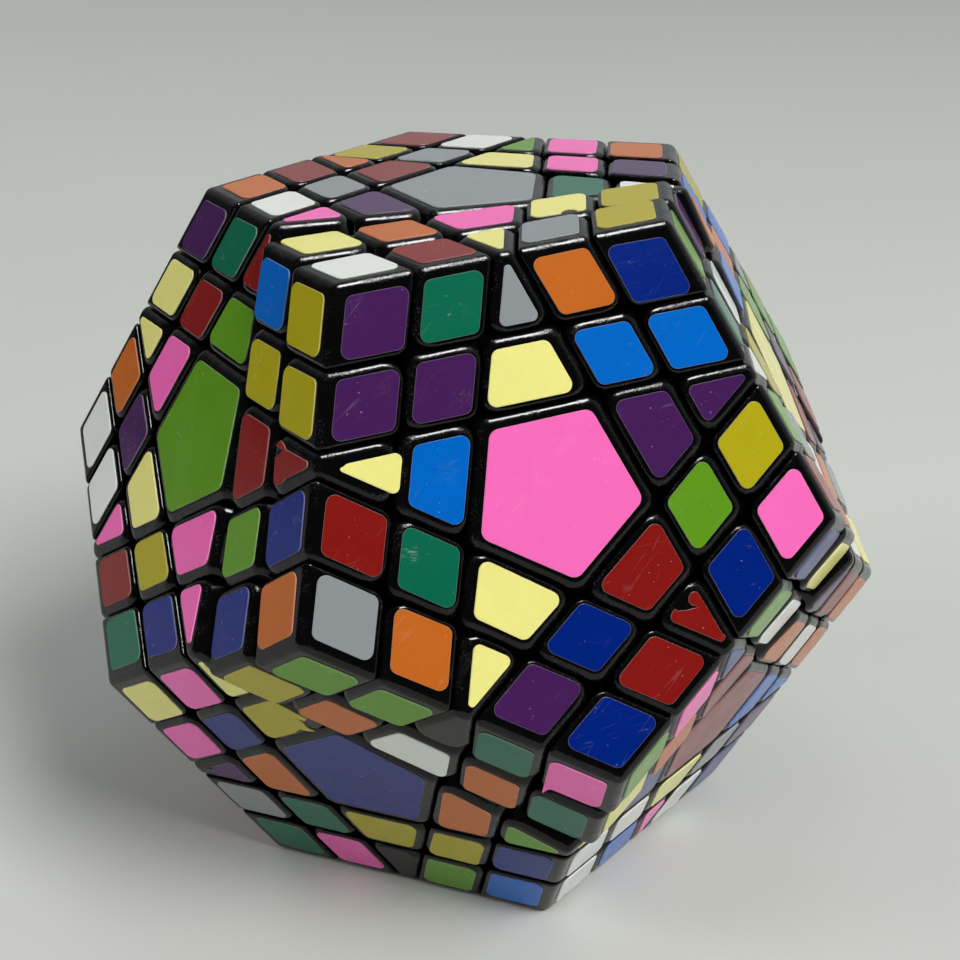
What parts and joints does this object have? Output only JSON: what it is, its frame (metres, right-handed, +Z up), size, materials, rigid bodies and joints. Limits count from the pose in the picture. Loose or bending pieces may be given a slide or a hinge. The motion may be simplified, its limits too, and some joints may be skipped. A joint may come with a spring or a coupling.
{
  "type": "dodecahedron twisty puzzle",
  "caption": "Black dodecahedron twisty puzzle with coloured stickers, cut into layers that turn about the faces, shown scrambled with its front layers slightly turned.",
  "frame": {"origin": "middle of the face that the puzzle rests on, at the outer side of its stickers", "axes": "+Z up through the middle of the top face; the turned front face looks along -Y and 26.6 degrees upwards; +X to the right seen from the front"},
  "size_m": [0.1256, 0.1323, 0.1092],
  "materials": {
    "black_plastic": "glossy moulded ABS with slightly worn edges",
    "inner_plastic": "moulded, satin",
    "core_plastic": "moulded, satin",
    "vinyl_stickers": "cut vinyl film in twelve colours, semi-gloss, scratched",
    "zinc_plated_steel": "zinc plated",
    "spring_steel": "drawn wire"
  },
  "bodies": {
    "root": {"centre_caps": "black_plastic", "centre_stalks": "inner_plastic", "core": "core_plastic", "corners": "black_plastic", "inner_corners": "inner_plastic", "inner_edges": "inner_plastic", "middle_edges": "black_plastic", "resting_face_stickers": "vinyl_stickers", "screws": "zinc_plated_steel", "springs": "spring_steel", "stickers": "vinyl_stickers", "t_centres": "black_plastic", "washers": "zinc_plated_steel", "wings": "black_plastic", "x_centres": "black_plastic"},
    "front_second_layer": {"front_second_inner_corners": "inner_plastic", "front_second_inner_edges": "inner_plastic", "front_second_stickers": "vinyl_stickers", "front_second_t_centres": "black_plastic", "front_second_wings": "black_plastic", "front_second_x_centres": "black_plastic"},
    "front_outer_layer": {"front_outer_centre_cap": "black_plastic", "front_outer_centre_stalk": "inner_plastic", "front_outer_corners": "black_plastic", "front_outer_middle_edges": "black_plastic", "front_outer_stickers": "vinyl_stickers", "front_outer_t_centres": "black_plastic", "front_outer_wings": "black_plastic", "front_outer_x_centres": "black_plastic"},
    "back_second_layer": {"back_second_inner_corners": "inner_plastic", "back_second_inner_edges": "inner_plastic", "back_second_stickers": "vinyl_stickers", "back_second_t_centres": "black_plastic", "back_second_wings": "black_plastic", "back_second_x_centres": "black_plastic"},
    "back_outer_layer": {"back_outer_centre_cap": "black_plastic", "back_outer_centre_stalk": "inner_plastic", "back_outer_corners": "black_plastic", "back_outer_middle_edges": "black_plastic", "back_outer_stickers": "vinyl_stickers", "back_outer_t_centres": "black_plastic", "back_outer_wings": "black_plastic", "back_outer_x_centres": "black_plastic"},
    "left_second_layer": {"left_second_inner_corners": "inner_plastic", "left_second_inner_edges": "inner_plastic", "left_second_stickers": "vinyl_stickers", "left_second_t_centres": "black_plastic", "left_second_wings": "black_plastic", "left_second_x_centres": "black_plastic"},
    "left_outer_layer": {"left_outer_centre_cap": "black_plastic", "left_outer_centre_stalk": "inner_plastic", "left_outer_corners": "black_plastic", "left_outer_middle_edges": "black_plastic", "left_outer_stickers": "vinyl_stickers", "left_outer_t_centres": "black_plastic", "left_outer_wings": "black_plastic", "left_outer_x_centres": "black_plastic"}
  },
  "joints": [
    {"name": "front_second_layer_turn", "type": "hinge", "parent": "root", "child": "front_second_layer", "pos_m": [0, 0, 0.05365], "axis": [0, -0.8944, 0.4472], "continuous": true},
    {"name": "front_outer_layer_turn", "type": "hinge", "parent": "front_second_layer", "child": "front_outer_layer", "pos_m": [0, 0, 0.05365], "axis": [0, -0.8944, 0.4472], "continuous": true},
    {"name": "back_second_layer_turn", "type": "hinge", "parent": "root", "child": "back_second_layer", "pos_m": [0, 0, 0.05365], "axis": [0.5257, 0.7236, 0.4472], "continuous": true},
    {"name": "back_outer_layer_turn", "type": "hinge", "parent": "back_second_layer", "child": "back_outer_layer", "pos_m": [0, 0, 0.05365], "axis": [0.5257, 0.7236, 0.4472], "continuous": true},
    {"name": "left_second_layer_turn", "type": "hinge", "parent": "root", "child": "left_second_layer", "pos_m": [0, 0, 0.05365], "axis": [-0.8507, 0.2764, -0.4472], "continuous": true},
    {"name": "left_outer_layer_turn", "type": "hinge", "parent": "left_second_layer", "child": "left_outer_layer", "pos_m": [0, 0, 0.05365], "axis": [-0.8507, 0.2764, -0.4472], "continuous": true}
  ]
}
